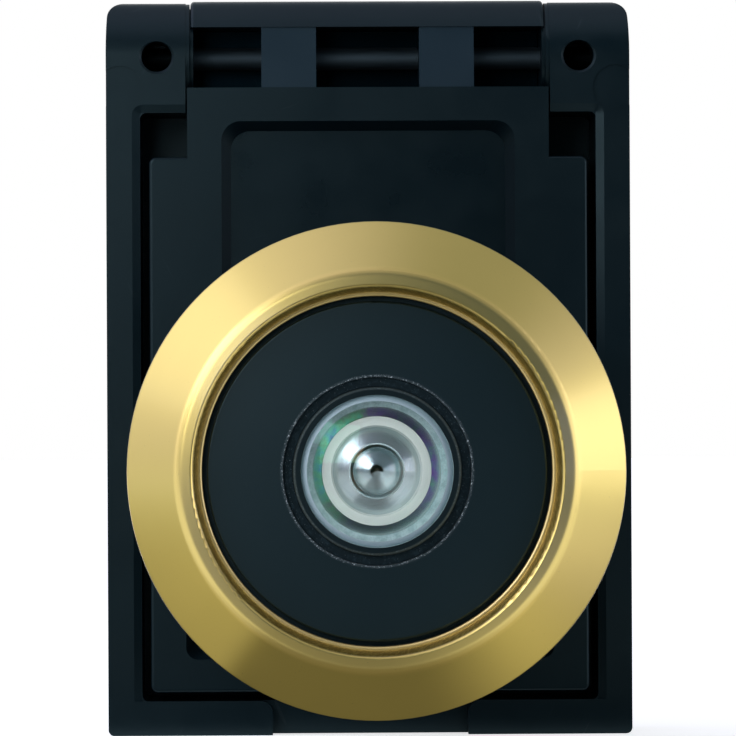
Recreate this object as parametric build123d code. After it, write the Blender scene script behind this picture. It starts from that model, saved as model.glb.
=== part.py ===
from build123d import *
import math
import os

# Door peephole: a brass-ringed viewer outside the door, a black housing with a
# privacy cover inside it, and one screwed tube through the door that joins them.
# Seen from outside the door, X runs right, Z runs up and Y runs into the room.
# The origin is on the tube's axis, where it meets the outer face of the door.
# A length is in millimetres and an angle in degrees.

# The door, and how short the screwed pair may become
door_thickness = 44.0
thinnest_door = 35.0
tube_end_gap = 1.0
barrel_end_gap = 1.0

# The barrel that fills the hole in the door
barrel_radius = 24.7
barrel_wall = 1.7
barrel_lead_in = 0.6
shoulder_height = 3.0
disc_height = 0.6
disc_dome = 520.0
disc_edge_round = 0.3
disc_groove_depth = 1.2
front_wall = 3.4

# The ring that covers the edge of the hole
ring_overlap = 5.3
ring_seat_step = 0.5
ring_fit = 0.05
ring_stand_off = 0.5
ring_rim_height = 0.7
ring_rim_round = 0.3
ring_peak_height = 7.3
ring_peak_round = 0.35
ring_crest_width = 2.2
ring_crest_rise = 1.0
ring_crest_round = 1.6
ring_wall_run = 0.55
ring_lip_reach = 3.75
ring_lip_width = 0.5
ring_lip_thickness = 0.9
ring_lip_round = 0.3
disc_gap = 0.55

# The gasket in the back of the ring
gasket_groove_depth = 0.5
gasket_side_gap = 0.1
gasket_land_inner = 1.65
gasket_land_outer = 1.1

# The cell that holds the front lenses
lens_radius = 9.1
lens_side_gap = 0.05
cell_rim_wall = 0.95
cell_rim_chamfer = 0.3
cell_rim_height = 0.8
cell_rim_depth = 1.6
cell_body_step = 0.4
cell_body_fit = 0.05
cell_ledge = 2.45
cell_step_lap = 0.4
cell_tail_wall = 1.2
cell_tail = 0.2
counterbore_side = 1.2
seal_thickness = 1.35
seal_side_gap = 0.05
nut_width = 2.9
nut_thickness = 2.6
nut_notch_width = 2.4
nut_notch_depth = 1.0
nut_notches = 4

# The stack of lenses and rings inside the cell
stack_side_gap = 0.05
front_lens_edge = 2.45
front_lens_dome = 22.0
front_lens_hollow = 9.5
front_lens_flat = 1.8
lens_edge_chamfer = 0.7
spacer_length = 1.0
spacer_width = 0.95
middle_lens_radius = 3.43
middle_lens_side_gap = 0.05
middle_lens_edge = 1.2
middle_lens_front = 9.0
middle_lens_back = 7.0
middle_lens_flat = 0.43
cone_length = 4.0
cone_rim = 1.0
cone_rise = 0.5
cone_lip = 0.07
cone_throat_radius = 4.3
nose_foot_gap = 0.1
nose_height = 0.45
nose_lip = 0.12
nose_wall = 0.6
nose_hole_radius = 0.8
stop_thickness = 0.4
stop_hole_radius = 2.6
inner_lens_edge = 2.6
inner_lens_back = 10.0
inner_lens_flat = 2.4
retainer_length = 2.0
retainer_width = 2.1
retainer_slot_width = 1.2
retainer_slot_depth = 0.8

# The eyepiece tube that screws into the barrel from the room side
thread_gap = 0.3
tube_wall = 2.1
tube_lead_in = 0.6
journal_step = 0.4
running_fit = 0.08
washer_thickness = 0.5
washer_side_gap = 0.15
bezel_lap = 2.3
bezel_height = 5.5
bezel_round = 0.8
grip_flutes = 30
grip_flute_radius = 0.9
grip_flute_depth = 0.45
eye_seat_height = 1.0
eye_pocket_step = 1.45
eye_lens_side_gap = 0.08
eye_lens_edge = 2.0
eye_lens_dome = 60.0
eye_lens_flat = 0.2
eye_retainer_width = 1.6
eye_retainer_length = 3.4
eye_retainer_slot_width = 1.8
eye_retainer_slot_depth = 1.2

# The base housing, which the tube clamps to the inner face of the door
base_thickness = 8.0
panel_side = 4.85
panel_foot = 5.65
panel_head = 16.4
panel_corner = 0.9
base_edge_round = 0.4
shoulder_step = 4.9
window_side = 4.35
window_rise = 4.6
window_depth = 2.2
window_bevel = 1.2
window_corner = 2.5
boss_wall = 2.8
foot_pocket_side = 4.5
foot_pocket_foot = 4.2
foot_pocket_rise = 13.0
foot_pocket_corner = 1.5

# The hinge along the top of the housing
knuckle_radius = 7.2
sweep_room = 5.7
bar_drop = 3.4
pocket_height = 7.8
pocket_front_wall = 2.5
middle_pocket_width = 13.2
bridge_width = 7.0
bridge_recess = 0.25
bar_end_step = 0.42
bar_rise = 0.25
bar_end_round = 0.5
thrust_disc_radius = 7.1
thrust_disc_length = 0.5
thrust_boss_radius = 6.5
thrust_boss_length = 1.0
thrust_disc_fit = 0.1
rod_radius = 1.45
rod_running_fit = 0.06
rod_press_gap = 0.01
rod_left_cover = 3.4
rod_right_recess = 0.9
rod_chamfer = 0.3

# The privacy cover, whose walls close round the base
cover_gap = 1.12
knuckle_gap = 0.2
side_wall = 4.35
bottom_wall = 4.4
cover_depth = 18.0
cover_front_wall = 2.4
cover_draft = 1.0
cover_top_corner = 2.0
cover_bottom_corner = 0.8
cover_front_corner = 3.0
cover_front_round = 2.0
cover_inner_corner = 0.8
cover_slope_drop = 8.1
cover_top_edge_drop = 6.0
bevel_width = 1.05
bevel_depth = 0.3
bevel_corner = 1.4
bevel_inner_corner = 0.2
notch_width = 25.0
notch_depth = 2.2
notch_flare = 1.6
cross_hole_radius = 1.95
cross_hole_inset = 6.5
cross_hole_depth = 9.6
cross_hole_chamfer = 0.3
ejector_radius = 2.9
ejector_depth = 0.15
ejector_inset = 1.8
ejector_drop = 4.1

# Heights along Y that follow from the sizes above
shoulder_y = -shoulder_height
disc_y = shoulder_y - disc_height
wall_back_y = shoulder_y + front_wall
barrel_end_y = thinnest_door - barrel_end_gap
tube_front_y = wall_back_y + door_thickness - thinnest_door + tube_end_gap
base_back_y = door_thickness
base_front_y = base_back_y + base_thickness
bezel_back_y = base_front_y + washer_thickness
bezel_front_y = bezel_back_y + bezel_height
eye_seat_y = base_front_y - eye_seat_height + washer_thickness
cover_front_y = base_back_y + cover_depth
cover_ceiling_y = cover_front_y - cover_front_wall
counterbore_y = disc_y + cell_rim_depth
rim_front_y = disc_y - cell_rim_height
front_lens_back_y = rim_front_y + lens_edge_chamfer + front_lens_edge
spacer_back_y = front_lens_back_y + spacer_length
cone_mouth_y = spacer_back_y - cone_rise
middle_lens_back_y = cone_mouth_y + middle_lens_edge
cone_back_y = spacer_back_y + cone_length
stop_back_y = cone_back_y + stop_thickness
inner_lens_back_y = stop_back_y + inner_lens_edge
retainer_back_y = inner_lens_back_y + retainer_length
cell_end_y = retainer_back_y + cell_tail
nut_back_y = wall_back_y + nut_thickness

# Radii that follow from the sizes above
barrel_bore = barrel_radius - barrel_wall
ring_radius = barrel_radius + ring_overlap
seat_radius = barrel_radius - ring_seat_step
ring_bore = seat_radius + ring_fit
ring_lip = barrel_radius - ring_lip_reach
disc_radius = ring_lip - disc_gap
tube_radius = barrel_bore - thread_gap
tube_bore = tube_radius - tube_wall
journal_radius = tube_radius + journal_step
base_hole = journal_radius + running_fit
bezel_radius = base_hole + bezel_lap
eye_pocket = tube_bore + eye_pocket_step
rim_radius = lens_radius + lens_side_gap + cell_rim_wall
lens_bore = lens_radius + lens_side_gap
cell_radius = rim_radius - cell_body_step
cell_bore = lens_bore - cell_ledge
cell_tail_radius = cell_bore + cell_tail_wall
stack_radius = cell_bore - stack_side_gap
middle_lens_pocket = middle_lens_radius + middle_lens_side_gap
counterbore_radius = rim_radius + counterbore_side

# Widths and heights of the housing that follow from the sizes above
panel_half = base_hole + panel_side
panel_bottom = -(base_hole + panel_foot)
panel_top = base_hole + panel_head
neck_half = panel_half - shoulder_step
bar_half = neck_half - bar_end_step
hinge_y = base_back_y + knuckle_radius
hinge_z = panel_top + sweep_room + knuckle_radius
housing_top = hinge_z + knuckle_radius
bar_radius = knuckle_radius + bar_rise
bar_y = hinge_y + bar_rise
pocket_top = housing_top - bar_drop
pocket_bottom = pocket_top - pocket_height
pocket_ceiling_y = hinge_y + knuckle_radius - pocket_front_wall
boss_radius = base_hole + boss_wall
cover_inner_half = panel_half + cover_gap
cover_half = cover_inner_half + side_wall
cover_inner_bottom = panel_bottom - cover_gap
cover_bottom = cover_inner_bottom - bottom_wall
block_inner = neck_half + knuckle_gap
block_bottom = hinge_z - knuckle_radius


def turned(*corners):
    """A closed outline of (radius, y) points, turned round the tube's axis."""
    outline = make_face(Polyline(*corners, close=True))
    return revolve(outline, Axis.Y)


def collar(outer, inner, start, end):
    """A plain ring or disc round the tube's axis, from y = start to y = end."""
    return turned((inner, start), (outer, start), (outer, end), (inner, end))


def plate(outline, start, end):
    """A flat outline in X and Z, given its thickness from y = start to y = end."""
    plane = Plane(origin=(0, start, 0), x_dir=(1, 0, 0), z_dir=(0, -1, 0))
    return extrude(plane * outline, amount=start - end)


def tapered(outline_start, start, outline_end, end):
    """A body between one outline in X and Z at y = start and another at y = end."""
    first = Plane(origin=(0, start, 0), x_dir=(1, 0, 0), z_dir=(0, -1, 0))
    last = Plane(origin=(0, end, 0), x_dir=(1, 0, 0), z_dir=(0, -1, 0))
    return loft([first * outline_start, last * outline_end], ruled=True)


def across(outline, left, right):
    """An outline in Y and Z, carried from x = left to x = right."""
    return extrude(Plane.YZ.offset(left) * outline, amount=right - left)


def window(left, right, bottom, top):
    """A rectangle between four edges."""
    centre = Pos((left + right) / 2, (bottom + top) / 2)
    return centre * Rectangle(right - left, top - bottom)


def rounded_window(left, right, bottom, top, top_round, bottom_round):
    """A rectangle whose top corners and bottom corners have their own radii."""
    shape = window(left, right, bottom, top)
    shape = fillet(shape.vertices().group_by(Axis.Y)[-1], top_round)
    return fillet(shape.vertices().group_by(Axis.Y)[0], bottom_round)


def sagitta(dome_radius, aperture):
    """How deep a dome of this radius is across an opening of this radius."""
    return dome_radius - math.sqrt(dome_radius**2 - aperture**2)


def spread(cutter, count):
    """Copies of a cutter, evenly spaced round the tube's axis."""
    return [Rot(0, 360 * index / count, 0) * cutter for index in range(count)]


def make_brass_ring():
    """The turned ring: a cone, a flatter crest, a steep inner wall and a rolled lip."""
    rim_y = -ring_stand_off - ring_rim_height
    lip_y = shoulder_y - ring_lip_thickness
    wall_foot = ring_lip + ring_lip_width
    peak = (wall_foot + ring_wall_run, -ring_peak_height)
    crest = (peak[0] + ring_crest_width, ring_crest_rise - ring_peak_height)
    rim = (ring_radius, rim_y)
    lip = (ring_lip, lip_y)
    outline = make_face(
        Polyline(
            (ring_bore, -ring_stand_off),
            (ring_radius, -ring_stand_off),
            rim,
            crest,
            peak,
            (wall_foot, lip_y),
            lip,
            (ring_lip, shoulder_y),
            (ring_bore, shoulder_y),
            close=True,
        )
    )
    rounds = (
        (rim, ring_rim_round),
        (crest, ring_crest_round),
        (peak, ring_peak_round),
        (lip, ring_lip_round),
    )
    for corner, radius in rounds:
        nearest = outline.vertices().sort_by_distance(Vector(*corner, 0))[0]
        outline = fillet(nearest, radius)
    groove = collar(
        ring_radius - gasket_land_outer,
        ring_bore + gasket_land_inner,
        -ring_stand_off - gasket_groove_depth,
        0,
    )
    return revolve(outline, Axis.Y) - groove


def make_ring_gasket():
    """The soft ring between the brass and the door."""
    outer = ring_radius - gasket_land_outer - gasket_side_gap
    inner = ring_bore + gasket_land_inner + gasket_side_gap
    return collar(outer, inner, -ring_stand_off - gasket_groove_depth, 0)


def make_front_barrel():
    """The black barrel, closed by the domed disc that carries the cell, with a groove round it."""
    hole = cell_radius + cell_body_fit
    groove_y = shoulder_y + disc_groove_depth
    rise = sagitta(disc_dome, disc_radius)
    hole_y = disc_y - rise + sagitta(disc_dome, hole)
    middle = (hole + disc_radius) / 2
    middle_y = disc_y - rise + sagitta(disc_dome, middle)
    outline = make_face(
        ThreePointArc((hole, hole_y), (middle, middle_y), (disc_radius, disc_y))
        + Polyline(
            (disc_radius, disc_y),
            (disc_radius, groove_y),
            (ring_lip, groove_y),
            (ring_lip, shoulder_y),
            (seat_radius, shoulder_y),
            (seat_radius, 0),
            (barrel_radius, 0),
            (barrel_radius, barrel_end_y),
            (barrel_bore + barrel_lead_in, barrel_end_y),
            (barrel_bore, barrel_end_y - barrel_lead_in),
            (barrel_bore, wall_back_y),
            (hole, wall_back_y),
            (hole, hole_y),
        )
    )
    rim = outline.vertices().sort_by_distance(Vector(disc_radius, disc_y, 0))[0]
    outline = fillet(rim, disc_edge_round)
    counterbore = collar(counterbore_radius, cell_radius, rim_front_y, counterbore_y)
    return revolve(outline, Axis.Y) - counterbore


def make_objective_cell():
    """The stepped tube that holds the front lenses, with a rim in the counterbore."""
    return turned(
        (lens_bore, rim_front_y),
        (rim_radius - cell_rim_chamfer, rim_front_y),
        (rim_radius, rim_front_y + cell_rim_chamfer),
        (rim_radius, counterbore_y),
        (cell_radius, counterbore_y),
        (cell_radius, nut_back_y + cell_step_lap),
        (cell_tail_radius, nut_back_y + cell_step_lap),
        (cell_tail_radius, cell_end_y),
        (cell_bore, cell_end_y),
        (cell_bore, front_lens_back_y),
        (lens_bore, front_lens_back_y),
    )


def make_lens_seal():
    """The flat rubber ring round the cell's rim."""
    outer = counterbore_radius - seal_side_gap
    return collar(outer, rim_radius + seal_side_gap, counterbore_y - seal_thickness, counterbore_y)


def make_cell_nut():
    """The notched nut that draws the cell back against the front wall."""
    outer = cell_radius + nut_width
    nut = collar(outer, cell_radius + cell_body_fit, wall_back_y, nut_back_y)
    notch = plate(
        window(-nut_notch_width / 2, nut_notch_width / 2, outer - nut_notch_depth, outer + 1),
        wall_back_y,
        nut_back_y,
    )
    return nut - spread(notch, nut_notches)


def make_front_lens():
    """The front lens: domed outside, with a small deep hollow behind."""
    hollow = lens_radius - front_lens_flat
    dome_edge = lens_radius - lens_edge_chamfer
    dome_start = rim_front_y
    apex = dome_start - sagitta(front_lens_dome, dome_edge)
    hollow_top = front_lens_back_y - sagitta(front_lens_hollow, hollow)
    half_dome = dome_edge / 2
    half_hollow = hollow / 2
    dome_mid = apex + sagitta(front_lens_dome, half_dome)
    hollow_mid = hollow_top + sagitta(front_lens_hollow, half_hollow)
    outline = make_face(
        Line((0, hollow_top), (0, apex))
        + ThreePointArc((0, apex), (half_dome, dome_mid), (dome_edge, dome_start))
        + Line((dome_edge, dome_start), (lens_radius, dome_start + lens_edge_chamfer))
        + Line((lens_radius, dome_start + lens_edge_chamfer), (lens_radius, front_lens_back_y))
        + Line((lens_radius, front_lens_back_y), (hollow, front_lens_back_y))
        + ThreePointArc((hollow, front_lens_back_y), (half_hollow, hollow_mid), (0, hollow_top))
    )
    return revolve(outline, Axis.Y)


def hollow_lens(radius, start, end, front_dome, back_hollow, back_flat):
    """A lens with a hollow in its back and, where front_dome is given, a domed front."""
    back = radius - back_flat
    back_apex = end - sagitta(back_hollow, back)
    back_mid = back_apex + sagitta(back_hollow, back / 2)
    front_apex = start
    edges = Line((radius, start), (radius, end)) + Line((radius, end), (back, end))
    edges += ThreePointArc((back, end), (back / 2, back_mid), (0, back_apex))
    if front_dome:
        front_apex = start - sagitta(front_dome, radius)
        front_mid = front_apex + sagitta(front_dome, radius / 2)
        edges += ThreePointArc((0, front_apex), (radius / 2, front_mid), (radius, start))
    else:
        edges += Line((0, start), (radius, start))
    edges += Line((0, back_apex), (0, front_apex))
    return revolve(make_face(edges), Axis.Y)


def make_lens_spacer():
    """The pale ring that shows between the front lens and the middle lens."""
    return collar(stack_radius, stack_radius - spacer_width, front_lens_back_y, spacer_back_y)


def make_middle_lens():
    """The small lens in the cone's pocket, domed in front and hollow behind."""
    return hollow_lens(
        middle_lens_radius,
        cone_mouth_y,
        middle_lens_back_y,
        middle_lens_front,
        middle_lens_back,
        middle_lens_flat,
    )


def make_cone_spacer():
    """The turned metal cone, with a pocket for the middle lens and a nose inside it."""
    nose_foot = middle_lens_radius - middle_lens_flat - nose_foot_gap
    nose_top_y = middle_lens_back_y - nose_height
    return turned(
        (stack_radius - cone_rim, spacer_back_y),
        (stack_radius, spacer_back_y),
        (stack_radius, cone_back_y),
        (cone_throat_radius, cone_back_y),
        (nose_hole_radius, middle_lens_back_y + nose_wall),
        (nose_hole_radius, nose_top_y),
        (nose_hole_radius + nose_lip, nose_top_y),
        (nose_foot, middle_lens_back_y),
        (middle_lens_pocket, middle_lens_back_y),
        (middle_lens_pocket, cone_mouth_y),
        (middle_lens_pocket + cone_lip, cone_mouth_y),
    )


def make_aperture_stop():
    """The thin black disc whose hole stops stray light."""
    return collar(stack_radius, stop_hole_radius, cone_back_y, stop_back_y)


def make_inner_lens():
    """The last lens of the cell, flat in front and hollow behind."""
    return hollow_lens(
        stack_radius,
        stop_back_y,
        inner_lens_back_y,
        None,
        inner_lens_back,
        inner_lens_flat,
    )


def make_cell_retainer():
    """The slotted ring screwed in behind the lenses."""
    inner = stack_radius - retainer_width
    ring = collar(stack_radius, inner, inner_lens_back_y, retainer_back_y)
    slot = plate(
        window(-retainer_slot_width / 2, retainer_slot_width / 2, inner - 1, stack_radius + 1),
        retainer_back_y - retainer_slot_depth,
        retainer_back_y,
    )
    return ring - spread(slot, 2)


def make_eyepiece_tube():
    """The tube that screws into the barrel, with its journal and its fluted bezel."""
    body = turned(
        (tube_bore, tube_front_y),
        (tube_radius - tube_lead_in, tube_front_y),
        (tube_radius, tube_front_y + tube_lead_in),
        (tube_radius, base_back_y - journal_step),
        (journal_radius, base_back_y),
        (journal_radius, bezel_back_y),
        (bezel_radius, bezel_back_y),
        (bezel_radius, bezel_front_y - bezel_round),
        (bezel_radius - bezel_round, bezel_front_y),
        (eye_pocket, bezel_front_y),
        (eye_pocket, eye_seat_y),
        (tube_bore, eye_seat_y),
    )
    flute_centre = bezel_radius - grip_flute_depth + grip_flute_radius
    flute = plate(Pos(flute_centre, 0) * Circle(grip_flute_radius), bezel_back_y, bezel_front_y)
    return body - spread(flute, grip_flutes)


def make_eyepiece_lens():
    """The large lens at the room end, flat towards the eye."""
    radius = eye_pocket - eye_lens_side_gap
    dome = tube_bore - eye_lens_flat
    apex = eye_seat_y - sagitta(eye_lens_dome, dome)
    mid = apex + sagitta(eye_lens_dome, dome / 2)
    flat = eye_seat_y + eye_lens_edge
    outline = make_face(
        Line((0, flat), (0, apex))
        + ThreePointArc((0, apex), (dome / 2, mid), (dome, eye_seat_y))
        + Line((dome, eye_seat_y), (radius, eye_seat_y))
        + Line((radius, eye_seat_y), (radius, flat))
        + Line((radius, flat), (0, flat))
    )
    return revolve(outline, Axis.Y)


def make_eyepiece_retainer():
    """The slotted ring that holds the large lens against its seat."""
    start = eye_seat_y + eye_lens_edge
    outer = eye_pocket - eye_lens_side_gap
    inner = eye_pocket - eye_retainer_width
    end = start + eye_retainer_length
    ring = collar(outer, inner, start, end)
    slot = plate(
        window(-eye_retainer_slot_width / 2, eye_retainer_slot_width / 2, inner - 1, outer + 1),
        end - eye_retainer_slot_depth,
        end,
    )
    return ring - spread(slot, 2)


def make_thrust_washer():
    """The slippery washer between the bezel and the base."""
    inner = base_hole + washer_side_gap
    return collar(bezel_radius - washer_side_gap, inner, base_front_y, bezel_back_y)


def floor_pocket(left, right, bottom, top, corner):
    """A shallow pocket in the base's back with bevelled walls, kept clear of the tube boss."""
    mouth = rounded_window(left, right, bottom, top, corner, corner)
    floor = rounded_window(
        left + window_bevel,
        right - window_bevel,
        bottom + window_bevel,
        top - window_bevel,
        corner,
        corner,
    )
    pocket = tapered(mouth, base_back_y, floor, base_back_y + window_depth)
    return pocket - collar(boss_radius, 0, base_back_y - 1, base_front_y)


def make_base_housing():
    """The T-shaped base: panel, neck, coring pockets and the barrel of the hinge."""
    panel = plate(
        rounded_window(-panel_half, panel_half, panel_bottom, panel_top, panel_corner, panel_corner),
        base_back_y,
        base_front_y,
    )
    panel = fillet(panel.edges().group_by(Axis.Y)[0], base_edge_round)
    neck = across(
        window(base_back_y, base_front_y, panel_top - window_rise, pocket_bottom),
        -neck_half,
        neck_half,
    )
    base = panel + neck + hinge_bar()
    base -= collar(base_hole, 0, base_back_y - 1, base_front_y + 1)
    window_half = neck_half - window_side
    base -= floor_pocket(-window_half, window_half, 0, panel_top + window_rise, window_corner)
    base -= floor_pocket(
        -(panel_half - foot_pocket_side),
        panel_half - foot_pocket_side,
        panel_bottom + foot_pocket_foot,
        panel_bottom + foot_pocket_foot + foot_pocket_rise,
        foot_pocket_corner,
    )
    return base - hinge_pockets() - bridge_slopes() - rod_channel() - thrust_recesses()


def hinge_bar():
    """The barrel of the hinge along the top of the neck, with rounded ends."""
    profile = (
        window(base_back_y, base_front_y, pocket_bottom, hinge_z)
        + window(base_back_y, bar_y, hinge_z - bar_radius, hinge_z)
        + Pos(bar_y, hinge_z) * Circle(bar_radius)
    )
    bar = across(profile, -bar_half, bar_half)
    ends = bar.faces().filter_by(Axis.X)
    rounds = ends.edges().filter_by(GeomType.CIRCLE)
    return fillet(rounds, bar_end_round)


def thrust_steps():
    """The radius and length of the two steps of a thrust disc."""
    return ((thrust_disc_radius, thrust_disc_length), (thrust_boss_radius, thrust_boss_length))


def thrust_recesses():
    """The room for the cover's thrust discs, cut from the sides of the neck."""
    cuts = []
    for radius, length in thrust_steps():
        profile = Pos(hinge_y, hinge_z) * Circle(radius + thrust_disc_fit)
        floor = block_inner - length - thrust_disc_fit
        cuts.append(across(profile, -neck_half - 1, -floor))
        cuts.append(across(profile, floor, neck_half + 1))
    return cuts


def bridge_centres():
    """Where the two bridges stand, left and right of the middle pocket."""
    offset = (middle_pocket_width + bridge_width) / 2
    return (-offset, offset)


def hinge_pockets():
    """The three pockets that leave the rod bare between the bridges."""
    edge = middle_pocket_width / 2
    outer = edge + bridge_width
    spans = ((-neck_half - 1, -outer), (-edge, edge), (outer, neck_half + 1))
    profile = window(base_back_y - 1, pocket_ceiling_y, pocket_bottom, pocket_top)
    return [across(profile, left, right) for left, right in spans]


def bridge_slopes():
    """What is planed off the bridges, so that they lean back to meet the bar."""
    rise = pocket_top - hinge_z
    bar_edge_y = bar_y - math.sqrt(bar_radius**2 - rise**2)
    profile = make_face(
        Polyline(
            (base_back_y - 1, pocket_bottom),
            (base_back_y + bridge_recess, pocket_bottom),
            (bar_edge_y + bridge_recess, pocket_top),
            (base_back_y - 1, pocket_top),
            close=True,
        )
    )
    half = bridge_width / 2
    return [across(profile, centre - half, centre + half) for centre in bridge_centres()]


def rod_channel():
    """The bore through both bridges in which the hinge rod turns."""
    profile = Pos(hinge_y, hinge_z) * Circle(rod_radius + rod_running_fit)
    return across(profile, -neck_half - 1, neck_half + 1)


def rod_ends():
    """Where the hinge rod starts in the left block and ends in the right one."""
    outer = cover_half - cover_draft * knuckle_radius / cover_depth
    return (-outer + rod_left_cover, outer - rod_right_recess)


def make_hinge_rod():
    """The steel rod, pressed into the cover's blocks and free in the base."""
    left, right = rod_ends()
    rod = across(Pos(hinge_y, hinge_z) * Circle(rod_radius), left, right)
    return chamfer(rod.edges().filter_by(GeomType.CIRCLE), rod_chamfer)


def slope_tangent():
    """Where the cover's sloping top meets the round of the knuckles."""
    reach = cover_front_y - hinge_y
    distance = math.hypot(reach, cover_slope_drop)
    angle = math.acos(knuckle_radius / distance) - math.atan2(cover_slope_drop, reach)
    return (
        hinge_y + knuckle_radius * math.cos(angle),
        hinge_z + knuckle_radius * math.sin(angle),
    )


def cover_side_outline():
    """The cover from the side: flat back and front, sloping top and round knuckle."""
    side = make_face(
        Polyline(
            (base_back_y, cover_bottom),
            (cover_front_y, cover_bottom),
            (cover_front_y, hinge_z - cover_slope_drop),
            slope_tangent(),
            (hinge_y, hinge_z),
            (base_back_y, hinge_z),
            close=True,
        )
    )
    return side + Pos(hinge_y, hinge_z) * Circle(knuckle_radius)


def cover_shell():
    """The outside of the cover, drafted and rounded towards the room."""
    back = rounded_window(
        -cover_half,
        cover_half,
        cover_bottom,
        housing_top,
        cover_top_corner,
        cover_bottom_corner,
    )
    front = rounded_window(
        -cover_half + cover_draft,
        cover_half - cover_draft,
        cover_bottom + cover_draft,
        housing_top,
        cover_top_corner,
        cover_front_corner,
    )
    drafted = tapered(back, base_back_y, front, cover_front_y)
    shell = drafted & across(cover_side_outline(), -cover_half - 1, cover_half + 1)
    front_edges = shell.faces().sort_by(Axis.Y)[-1].edges()
    return fillet(front_edges, cover_front_round)


def cover_cavity():
    """The space inside the cover, with a bevel round the mouth beside the base."""
    cavity = plate(
        rounded_window(
            -cover_inner_half,
            cover_inner_half,
            cover_inner_bottom,
            block_bottom,
            cover_inner_corner,
            cover_inner_corner,
        ),
        base_back_y - 1,
        cover_ceiling_y,
    )
    mouth = rounded_window(
        -cover_inner_half - bevel_width,
        cover_inner_half + bevel_width,
        cover_inner_bottom,
        block_bottom + bevel_width,
        bevel_corner,
        bevel_inner_corner,
    )
    throat = rounded_window(
        -cover_inner_half,
        cover_inner_half,
        cover_inner_bottom,
        block_bottom,
        bevel_inner_corner,
        bevel_inner_corner,
    )
    bevel = tapered(mouth, base_back_y, throat, base_back_y + bevel_depth)
    top_edge = hinge_z - cover_top_edge_drop
    behind = plate(window(-block_inner, block_inner, 0, housing_top + 1), base_back_y - 1, cover_ceiling_y)
    above = plate(window(-block_inner, block_inner, top_edge, housing_top + 1), base_back_y, cover_front_y + 1)
    return [cavity, bevel, behind, above]


def finger_notch():
    """The step in the bottom rim, flared into the cavity, that a fingertip lifts the cover by."""
    half = notch_width / 2
    mouth = half + notch_flare
    flare_foot = cover_inner_bottom - notch_flare
    outline = window(-half, half, cover_bottom - 1, cover_inner_bottom + 1)
    outline += window(-mouth, mouth, flare_foot, cover_inner_bottom + 1)
    for side in (-1, 1):
        outline -= Pos(side * mouth, flare_foot) * Circle(notch_flare)
    return plate(outline, base_back_y - 1, base_back_y + notch_depth)


def block_details():
    """The cross holes and the shallow ejector marks in the two corner blocks."""
    cutters = []
    for side in (-1, 1):
        hole = Pos(side * (cover_half - cross_hole_inset), hinge_z)
        cutters.append(plate(hole * Circle(cross_hole_radius), base_back_y, base_back_y + cross_hole_depth))
        mouth = cross_hole_radius + cross_hole_chamfer
        cutters.append(
            tapered(
                hole * Circle(mouth),
                base_back_y,
                hole * Circle(cross_hole_radius),
                base_back_y + cross_hole_chamfer,
            )
        )
        mark = Pos(side * (cover_half - ejector_inset), hinge_z - ejector_drop)
        cutters.append(plate(mark * Circle(ejector_radius), base_back_y, base_back_y + ejector_depth))
    return cutters


def thrust_discs():
    """The two stepped discs that stand out of the blocks and keep them clear of the bar."""
    discs = []
    for radius, length in thrust_steps():
        profile = Pos(hinge_y, hinge_z) * Circle(radius)
        reach = block_inner - length
        discs.append(across(profile, -block_inner, -reach))
        discs.append(across(profile, reach, block_inner))
    return discs


def make_privacy_cover():
    """The cover: a drafted shell with two hinge blocks and a finger notch."""
    cover = cover_shell() - cover_cavity() - finger_notch() - block_details() + thrust_discs()
    left, right = rod_ends()
    profile = Pos(hinge_y, hinge_z) * Circle(rod_radius + rod_press_gap)
    return cover - across(profile, left, cover_half)


NODES = {
    "brass_ring": make_brass_ring,
    "ring_gasket": make_ring_gasket,
    "front_barrel": make_front_barrel,
    "objective_cell": make_objective_cell,
    "lens_seal": make_lens_seal,
    "cell_nut": make_cell_nut,
    "front_lens": make_front_lens,
    "lens_spacer": make_lens_spacer,
    "middle_lens": make_middle_lens,
    "cone_spacer": make_cone_spacer,
    "aperture_stop": make_aperture_stop,
    "inner_lens": make_inner_lens,
    "cell_retainer": make_cell_retainer,
    "eyepiece_tube": make_eyepiece_tube,
    "eyepiece_lens": make_eyepiece_lens,
    "eyepiece_retainer": make_eyepiece_retainer,
    "thrust_washer": make_thrust_washer,
    "base_housing": make_base_housing,
    "hinge_rod": make_hinge_rod,
    "privacy_cover": make_privacy_cover,
}

os.makedirs("parts", exist_ok=True)
for name, make in NODES.items():
    export_step(make(), f"parts/{name}.step")
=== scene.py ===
import math

import bmesh
import bpy
from mathutils import Matrix, Vector


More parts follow.
